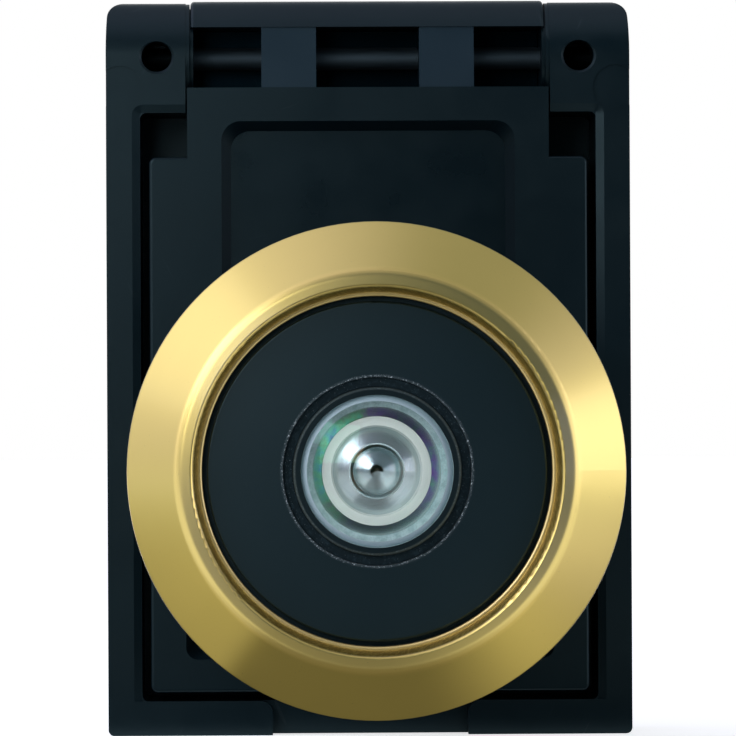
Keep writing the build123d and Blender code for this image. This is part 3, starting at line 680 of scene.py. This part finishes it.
class StageSettings(bpy.types.PropertyGroup):
    """Camera, lamps and floor."""

    focal_length: bpy.props.FloatProperty(
        name="Focal Length", description="Focal length on a 36 mm sensor, in millimetres",
        default=282.4, min=20.0
    )
    camera_place: bpy.props.FloatVectorProperty(
        name="Camera", description="Where the camera stands", subtype="TRANSLATION", unit="LENGTH",
        default=(-0.01406, -0.69413, 0.00971)
    )
    camera_turn: bpy.props.FloatVectorProperty(
        name="Camera Turn", description="Right turn, upward tilt and roll of the camera", subtype="EULER",
        default=(math.radians(1.08), math.radians(0.22), math.radians(-0.263)),
    )
    lamp_level: bpy.props.FloatProperty(
        name="Lamp Level", description="Brightness of the softboxes", subtype="FACTOR",
        default=1.0, min=0.0, soft_max=3.0
    )
    room_level: bpy.props.FloatProperty(
        name="Room Level", description="Brightness of the room round the object", subtype="FACTOR",
        default=1.0, min=0.0, soft_max=3.0
    )
    floor_glow: bpy.props.FloatProperty(
        name="Floor Glow", description="What lifts the pale floor to white", subtype="FACTOR",
        default=0.7, min=0.0, max=1.0
    )


# Operators, one for each piece or group of like pieces

class VIEWER_OT_effects(bpy.types.Operator):
    """Makes the surface effects that the finishes share"""

    bl_idname = "viewer.effects"
    bl_label = "Make Surface Effects"

    def execute(self, context):
        make_radius_group()
        make_turned_group()
        make_moulded_group()
        make_edge_glint_group()
        make_scratch_group()
        make_box_group()
        make_fringe_highlight_group()
        return {"FINISHED"}


class VIEWER_OT_ring(bpy.types.Operator):
    """Finishes the brass ring, its gasket and the seal of the lens cell"""

    bl_idname = "viewer.ring"
    bl_label = "Finish Ring"

    def execute(self, context):
        dress(["brass_ring"], brass_material(context.scene.viewer_finish))
        dress(["ring_gasket", "lens_seal"], rubber_material())
        return {"FINISHED"}


class VIEWER_OT_barrel(bpy.types.Operator):
    """Finishes the barrel with its disc, the lens cell and its rings, and the eyepiece tube"""

    bl_idname = "viewer.barrel"
    bl_label = "Finish Barrel"

    def execute(self, context):
        finish = context.scene.viewer_finish
        dress(["front_barrel"], disc_material(finish))
        cell = cell_material(finish)
        dress(["objective_cell", "eyepiece_tube", "eyepiece_retainer", "aperture_stop"], cell)
        dress(["cell_nut", "cell_retainer"], plain_brass_material())
        dress(["lens_spacer"], spacer_material())
        dress(["cone_spacer"], alloy_material())
        return {"FINISHED"}


class VIEWER_OT_lenses(bpy.types.Operator):
    """Gives the lenses coated glass"""

    bl_idname = "viewer.lenses"
    bl_label = "Finish Lenses"

    def execute(self, context):
        dress(["front_lens"], glass_material("Front Glass", (0.96, 0.99, 0.98), 8.4 * MM))
        inner = glass_material("Inner Glass", (0.95, 0.98, 0.97), 21.0 * MM)
        dress(["middle_lens", "inner_lens", "eyepiece_lens"], inner)
        return {"FINISHED"}


def turned_mesh(name, outlines, steps):
    """A mesh of closed (radius, y) outlines, each turned round the tube's axis."""
    work = bmesh.new()
    turns = [math.tau * step / steps for step in range(steps)]
    for outline in outlines:
        rings = [
            [work.verts.new((radius * math.cos(turn), place, radius * math.sin(turn))) for turn in turns]
            for radius, place in outline
        ]
        for first, second in zip(rings, rings[1:] + rings[:1]):
            for step in range(steps):
                after = (step + 1) % steps
                work.faces.new((first[step], first[after], second[after], second[step]))
    bmesh.ops.recalc_face_normals(work, faces=work.faces)
    mesh = bpy.data.meshes.new(name)
    work.to_mesh(mesh)
    work.free()
    return mesh


class VIEWER_OT_ground_faces(bpy.types.Operator):
    """Lays ground surfaces on the bevel and the flat back of the front lens, and round the middle lens"""

    bl_idname = "viewer.ground_faces"
    bl_label = "Grind Lens Edge"

    def execute(self, context):
        sizes = context.scene.viewer_lens
        low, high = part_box("front_lens")
        rim = low.y + sizes.dome_rise
        inner = high.x - sizes.bevel
        skin = sizes.skin
        bevel = (
            (inner + skin, rim - skin),
            (high.x + skin, rim + sizes.bevel - skin),
            (high.x - skin, rim + sizes.bevel + skin),
            (inner - skin, rim + skin),
        )
        # Inside the glass, just in front of its flat back
        back = self.ring_outline(
            sizes.hollow_mouth + skin, high.x - skin, high.y - 3.0 * skin, high.y - skin
        )
        near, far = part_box("middle_lens")
        margin = 0.3 * MM
        small_edge = self.ring_outline(far.x - skin, far.x + skin, near.y + margin, far.y - margin)
        mesh = turned_mesh("lens_ground_faces", (bevel, back, small_edge), sizes.steps)
        piece = bpy.data.objects.new("lens_ground_faces", mesh)
        context.scene.collection.objects.link(piece)
        mesh.materials.append(ground_material())
        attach(piece, "front")
        return {"FINISHED"}

    def ring_outline(self, inner, outer, near, far):
        """The four corners of a flat or straight ring's cross section."""
        return (inner, near), (outer, near), (outer, far), (inner, far)


class VIEWER_OT_housing(bpy.types.Operator):
    """Finishes the base, the privacy cover, the rod and the washer"""

    bl_idname = "viewer.housing"
    bl_label = "Finish Housing"

    def execute(self, context):
        dress(["base_housing", "privacy_cover"], housing_material(context.scene.viewer_finish))
        dress(["hinge_rod"], steel_material())
        dress(["thrust_washer"], nylon_material())
        return {"FINISHED"}


def thread_tree():
    """Geometry nodes for a ridge along a helix: a grid of cross sections, wrapped round Y."""
    foot_share, top_share = 0.8, 0.3
    stand_share = 0.3
    run_out_turns = 0.5
    corners = 4
    columns = corners + 1
    tree = bpy.data.node_groups.new("Helical Thread", "GeometryNodeTree")
    labels = ("Root Radius", "Ridge Height", "Pitch", "Start", "Turns")
    kinds = [(label, FLOAT) for label in labels]
    for label, kind in (*kinds, ("Steps", "NodeSocketInt"), ("Material", "NodeSocketMaterial")):
        tree.interface.new_socket(label, in_out="INPUT", socket_type=kind)
    tree.interface.new_socket("Geometry", in_out="OUTPUT", socket_type="NodeSocketGeometry")
    given = tree.nodes.new("NodeGroupInput").outputs
    result = tree.nodes.new("NodeGroupOutput")

    # The ridge's cross section, and a grid with one row of points for each step along the helix
    section = add_node(
        tree,
        "GeometryNodeCurvePrimitiveQuadrilateral",
        {"mode": "TRAPEZOID"},
        {
            "Height": given["Ridge Height"],
            "Bottom Width": calculate(tree, "MULTIPLY", given["Pitch"], foot_share),
            "Top Width": calculate(tree, "MULTIPLY", given["Pitch"], top_share),
            "Offset": 0.0,
        },
    )
    rows = calculate(tree, "ROUND", calculate(tree, "MULTIPLY", given["Turns"], given["Steps"]))
    counts = {"Vertices X": calculate(tree, "ADD", rows, 1.0), "Vertices Y": columns}
    grid = add_node(tree, "GeometryNodeMeshGrid", {}, counts)

    # Each point of the grid finds its corner of the cross section
    index = add_node(tree, "GeometryNodeInputIndex").outputs[0]
    row = calculate(tree, "FLOOR", calculate(tree, "DIVIDE", calculate(tree, "ADD", index, 0.5), columns))
    column = calculate(tree, "SUBTRACT", index, calculate(tree, "MULTIPLY", row, columns))
    sampled = add_node(
        tree,
        "GeometryNodeSampleIndex",
        {"data_type": "FLOAT_VECTOR", "domain": "POINT"},
        {
            "Geometry": section.outputs[0],
            "Value": add_node(tree, "GeometryNodeInputPosition").outputs[0],
            "Index": calculate(tree, "MODULO", column, corners),
        },
    )
    place = split(tree, sampled.outputs[0])

    # Its place on the helix, where the ridge fades into the tube at both ends
    turned = calculate(tree, "MULTIPLY", calculate(tree, "DIVIDE", row, rows), given["Turns"])
    ends = calculate(tree, "MINIMUM", turned, calculate(tree, "SUBTRACT", given["Turns"], turned))
    fade = calculate(tree, "MULTIPLY", ends, 1.0 / run_out_turns, clamp=True)
    rise = calculate(tree, "MULTIPLY_ADD", given["Ridge Height"], stand_share, place[1])
    radius = calculate(tree, "MULTIPLY_ADD", rise, fade, given["Root Radius"])
    angle = calculate(tree, "MULTIPLY", turned, math.tau)
    helix = calculate(tree, "MULTIPLY_ADD", turned, given["Pitch"], given["Start"])
    wrapped = join(
        tree,
        calculate(tree, "MULTIPLY", calculate(tree, "COSINE", angle), radius),
        calculate(tree, "MULTIPLY_ADD", place[0], fade, helix),
        calculate(tree, "MULTIPLY", calculate(tree, "SINE", angle), radius),
    )
    geometry = grid.outputs[0]
    for kind, inputs in (
        ("GeometryNodeSetPosition", {"Position": wrapped}),
        ("GeometryNodeMergeByDistance", {"Distance": 0.001 * MM}),
        ("GeometryNodeRealizeInstances", {}),
        ("GeometryNodeSetMaterial", {"Material": given["Material"]}),
    ):
        geometry = add_node(tree, kind, {}, {"Geometry": geometry, **inputs}).outputs[0]
    tree.links.new(geometry, result.inputs[0])
    return tree


def grown_mesh(name, tree, values):
    """Runs a geometry tree once on an empty mesh and returns the result as a plain mesh."""
    holder = bpy.data.objects.new(name + "_holder", bpy.data.meshes.new(name + "_holder"))
    bpy.context.scene.collection.objects.link(holder)
    modifier = holder.modifiers.new("Nodes", "NODES")
    modifier.node_group = tree
    for item in tree.interface.items_tree:
        if item.in_out == "INPUT" and item.name in values:
            modifier[item.identifier] = values[item.name]
    evaluated = holder.evaluated_get(bpy.context.evaluated_depsgraph_get())
    mesh = bpy.data.meshes.new_from_object(evaluated)
    mesh.name = name
    holder.modifiers.remove(modifier)
    bpy.data.objects.remove(holder)
    return mesh


class VIEWER_OT_thread(bpy.types.Operator):
    """Adds the thread on the eyepiece tube"""

    bl_idname = "viewer.thread"
    bl_label = "Add Thread"

    def execute(self, context):
        sizes = context.scene.viewer_thread
        mesh = grown_mesh(
            "tube_thread",
            thread_tree(),
            {
                "Root Radius": sizes.root_radius,
                "Ridge Height": sizes.height,
                "Pitch": sizes.pitch,
                "Start": sizes.start,
                "Turns": (sizes.end - sizes.start) / sizes.pitch,
                "Steps": sizes.steps,
                "Material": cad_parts["eyepiece_tube"].data.materials[0],
            },
        )
        thread = bpy.data.objects.new("tube_thread", mesh)
        context.scene.collection.objects.link(thread)
        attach(thread, "eyepiece")
        return {"FINISHED"}


WHITE, BLACK = (1.0, 1.0, 1.0), (0.0, 0.0, 0.0)
LAMP_COLOUR = (0.96, 1.0, 1.07)
LAMP_TARGET = (0.0, 0.02, 0.01)
# Name, place, width and height, and level of each lamp
SOFTBOXES = (
    ("right_softbox", (0.68, -0.12, 0.02), (0.5, 0.46), 1.0),
    ("left_softbox", (-0.52, -0.18, 0.40), (0.42, 0.46), 0.55),
    ("right_front_softbox", (0.48, -0.40, 0.02), (0.24, 0.30), 1.1),
    ("left_front_softbox", (-0.22, -0.22, 0.17), (0.16, 0.16), 2.1),
    ("near_softbox", (-0.10, -0.22, 0.075), (0.11, 0.11), 2.8),
)


def softbox(name, place, size, level):
    """An area lamp of a given radiance that faces the object."""
    data = bpy.data.lights.new(name, "AREA")
    data.shape = "RECTANGLE"
    data.size, data.size_y = size
    data.energy = level * math.pi * size[0] * size[1]
    data.color = LAMP_COLOUR
    lamp = bpy.data.objects.new(name, data)
    lamp.visible_camera = False
    lamp.location = place
    lamp.rotation_mode = "QUATERNION"
    lamp.rotation_quaternion = (Vector(LAMP_TARGET) - Vector(place)).to_track_quat("-Z", "Y")
    bpy.context.scene.collection.objects.link(lamp)


class VIEWER_OT_stage(bpy.types.Operator):
    """Sets the floor, the backdrop, the lamps and the camera"""

    bl_idname = "viewer.stage"
    bl_label = "Set Stage"

    def execute(self, context):
        settings = context.scene.viewer_stage
        floor_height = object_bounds()[0].z
        self.add_floor(settings, floor_height)
        self.add_world(settings)
        self.add_card(floor_height)
        for name, place, size, level in SOFTBOXES:
            softbox(name, place, size, level * settings.lamp_level)
        self.add_camera(settings)
        context.scene.view_settings.view_transform = "Standard"
        return {"FINISHED"}

    def add_floor(self, settings, height):
        """A wide pale floor, white where nothing shades it."""
        floor = self.flat_sheet("floor", (-3.0, 3.0), (-3.0, 3.0), height)
        material, tree, shader = new_material(
            "Pale Floor", base_color=(0.75, 0.75, 0.75), roughness=0.8, emission_color=WHITE
        )
        rays = add_node(tree, "ShaderNodeLightPath").outputs
        seen = calculate(tree, "MAXIMUM", rays["Is Camera Ray"], rays["Is Glossy Ray"])
        seen = calculate(tree, "MAXIMUM", seen, rays["Is Transmission Ray"])
        feed(tree, shader, emission_strength=calculate(tree, "MULTIPLY", seen, settings.floor_glow))
        floor.data.materials.append(material)
        floor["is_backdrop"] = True

    def add_card(self, height):
        """A glowing grey card under the object, which only reflections show."""
        card = self.flat_sheet("grey_card", (-3.0, 3.0), (-3.0, 0.04), height + 0.3 * MM)
        material, tree, shader = new_material(
            "Grey Card", base_color=BLACK, roughness=1.0, emission_strength=1.0
        )
        across, along = split(tree, object_position(tree))[:2]

        # Brightness across the card: lighter at both sides of the ring, and at the housing's left edge
        middle_level, least_level = 0.14, 0.02
        left = ramp(tree, across, -28.5 * MM, -22.5 * MM, 0.30, 0.0)
        right = ramp(tree, across, 6.0 * MM, 34.0 * MM, 0.0, 0.42)
        right = calculate(tree, "ADD", right, ramp(tree, across, 34.0 * MM, 110.0 * MM, 0.0, 0.3))
        edge = ramp(tree, across, -44.5 * MM, -43.5 * MM, 0.03, 0.0)
        level = calculate(tree, "ADD", calculate(tree, "ADD", left, right), edge)
        level = calculate(tree, "ADD", level, middle_level)

        # Brighter towards the camera, up to a slanted end, and nothing behind the ring
        for low, high, gain in ((-8.0, -20.0, 1.25), (-24.0, -60.0, 3.4)):
            level = calculate(tree, "MULTIPLY", level, ramp(tree, along, low * MM, high * MM, 1.0, gain))
        reach = calculate(tree, "MULTIPLY_ADD", calculate(tree, "ABSOLUTE", across), 0.95, 45.0 * MM)
        short_of_end = ramp(tree, calculate(tree, "ADD", along, reach), -20.0 * MM, 20.0 * MM)
        level = calculate(tree, "MULTIPLY", level, short_of_end)
        level = calculate(tree, "MULTIPLY", level, ramp(tree, along, 4.0 * MM, -1.0 * MM))
        level = calculate(tree, "ADD", level, least_level)

        # Warm under the ring, cooler to the right and towards the camera
        hue = tint(tree, ramp(tree, across, 24.0 * MM, 70.0 * MM), (1.0, 0.98, 0.72), (1.0, 0.98, 1.05))
        hue = tint(tree, ramp(tree, along, -14.0 * MM, -30.0 * MM), hue, (0.92, 0.98, 1.0))
        feed(tree, shader, emission_color=tint(tree, level, BLACK, hue))
        card.data.materials.append(material)
        card.visible_camera = False
        card.visible_diffuse = False
        card.visible_shadow = False
        card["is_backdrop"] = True

    def flat_sheet(self, name, across, along, height):
        """A level rectangle between two ranges of X and Y."""
        mesh = bpy.data.meshes.new(name)
        left, right = across
        near, far = along
        mesh.from_pydata(
            [(left, near, height), (right, near, height), (right, far, height), (left, far, height)],
            [],
            [(0, 1, 2, 3)],
        )
        sheet = bpy.data.objects.new(name, mesh)
        bpy.context.scene.collection.objects.link(sheet)
        return sheet

    def add_world(self, settings):
        """A dim room, darkest towards the camera, with a white background."""
        world = bpy.data.worlds.new("Studio")
        bpy.context.scene.world = world
        world.use_nodes = True
        tree = world.node_tree
        tree.nodes.clear()
        direction = add_node(tree, "ShaderNodeTexCoord").outputs["Generated"]
        x, y = split(tree, direction)[:2]

        # The room: lighter to the left with a bright band, darker behind the object
        leftward = ramp(tree, x, -0.3, -0.75)
        room = tint(tree, leftward, (0.37, 0.39, 0.40), (0.47, 0.50, 0.52))
        band = calculate(tree, "MULTIPLY", leftward, ramp(tree, y, -0.25, -0.5))
        room = tint(tree, band, room, (0.95, 0.97, 1.02))
        room = tint(tree, ramp(tree, y, 0.0, 0.3), room, (0.20, 0.24, 0.28))

        # Two soft glows, at the upper left and at the right
        glow_colour = (1.5, 1.47, 2.1)
        for aim, start, height in (((-0.72, -0.14, 0.68), 0.4, 0.41), ((0.985, -0.17, -0.03), 0.6, 0.42)):
            inputs = {0: direction, 1: aim}
            facing = add_node(tree, "ShaderNodeVectorMath", {"operation": "DOT_PRODUCT"}, inputs)
            room = tint(tree, ramp(tree, facing.outputs["Value"], start, 1.0, 0.0, height), room, glow_colour)
        room = tint(tree, ramp(tree, y, -0.56, -0.76), room, (0.04, 0.07, 0.09))

        # White for the camera, for the floor's mirror image of the backdrop, and through the lenses
        rays = add_node(tree, "ShaderNodeLightPath").outputs
        mirrored = calculate(tree, "MULTIPLY", rays["Is Glossy Ray"], ramp(tree, y, 0.85, 0.95))
        scattered = calculate(tree, "MINIMUM", rays["Diffuse Depth"], 1.0)
        through = calculate(tree, "MULTIPLY", rays["Is Transmission Ray"], scattered)
        white = calculate(tree, "MAXIMUM", mirrored, through)
        white = calculate(tree, "MAXIMUM", white, rays["Is Camera Ray"])
        colour = tint(tree, white, room, WHITE)
        background = add_node(
            tree, "ShaderNodeBackground", {}, {"Color": colour, "Strength": settings.room_level}
        )
        output = tree.nodes.new("ShaderNodeOutputWorld")
        tree.links.new(background.outputs[0], output.inputs["Surface"])

    def add_camera(self, settings):
        """The camera at the photo's view."""
        data = bpy.data.cameras.new("camera")
        data.sensor_width = 36.0
        data.lens = settings.focal_length
        data.clip_start = 0.01
        data.clip_end = 20.0
        camera = bpy.data.objects.new("camera", data)
        bpy.context.scene.collection.objects.link(camera)
        turn, tilt, roll = settings.camera_turn
        look = Matrix.Rotation(-turn, 4, "Z") @ Matrix.Rotation(math.pi / 2 + tilt, 4, "X")
        look = look @ Matrix.Rotation(roll, 4, "Z")
        camera.matrix_world = Matrix.Translation(settings.camera_place) @ look
        bpy.context.scene.camera = camera


class VIEWER_PT_panel(bpy.types.Panel):
    """Lists the viewer's pieces and settings"""

    bl_idname = "VIEWER_PT_panel"
    bl_label = "Door Viewer"
    bl_space_type = "VIEW_3D"
    bl_region_type = "UI"
    bl_category = "Viewer"

    def draw(self, context):
        layout = self.layout
        for operator in OPERATORS:
            layout.operator(operator.bl_idname)
        scene = context.scene
        for group in (scene.viewer_finish, scene.viewer_lens, scene.viewer_thread, scene.viewer_stage):
            box = layout.box()
            for name in group.__annotations__:
                box.prop(group, name)


GROUPS = (FinishSettings, LensSettings, ThreadSettings, StageSettings)
OPERATORS = (
    VIEWER_OT_effects,
    VIEWER_OT_ring,
    VIEWER_OT_barrel,
    VIEWER_OT_lenses,
    VIEWER_OT_ground_faces,
    VIEWER_OT_housing,
    VIEWER_OT_thread,
    VIEWER_OT_stage,
)


def register():
    for item in (*GROUPS, *OPERATORS, VIEWER_PT_panel):
        bpy.utils.register_class(item)
    bpy.types.Scene.viewer_finish = bpy.props.PointerProperty(type=FinishSettings)
    bpy.types.Scene.viewer_lens = bpy.props.PointerProperty(type=LensSettings)
    bpy.types.Scene.viewer_thread = bpy.props.PointerProperty(type=ThreadSettings)
    bpy.types.Scene.viewer_stage = bpy.props.PointerProperty(type=StageSettings)


def unregister():
    del bpy.types.Scene.viewer_stage
    del bpy.types.Scene.viewer_thread
    del bpy.types.Scene.viewer_lens
    del bpy.types.Scene.viewer_finish
    for item in reversed((*GROUPS, *OPERATORS, VIEWER_PT_panel)):
        bpy.utils.unregister_class(item)


def main():
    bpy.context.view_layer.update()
    register()
    bpy.ops.viewer.effects()
    bpy.ops.viewer.ring()
    bpy.ops.viewer.barrel()
    bpy.ops.viewer.lenses()
    bpy.ops.viewer.ground_faces()
    bpy.ops.viewer.housing()
    bpy.ops.viewer.thread()
    bpy.ops.viewer.stage()


if __name__ == "__main__":
    main()
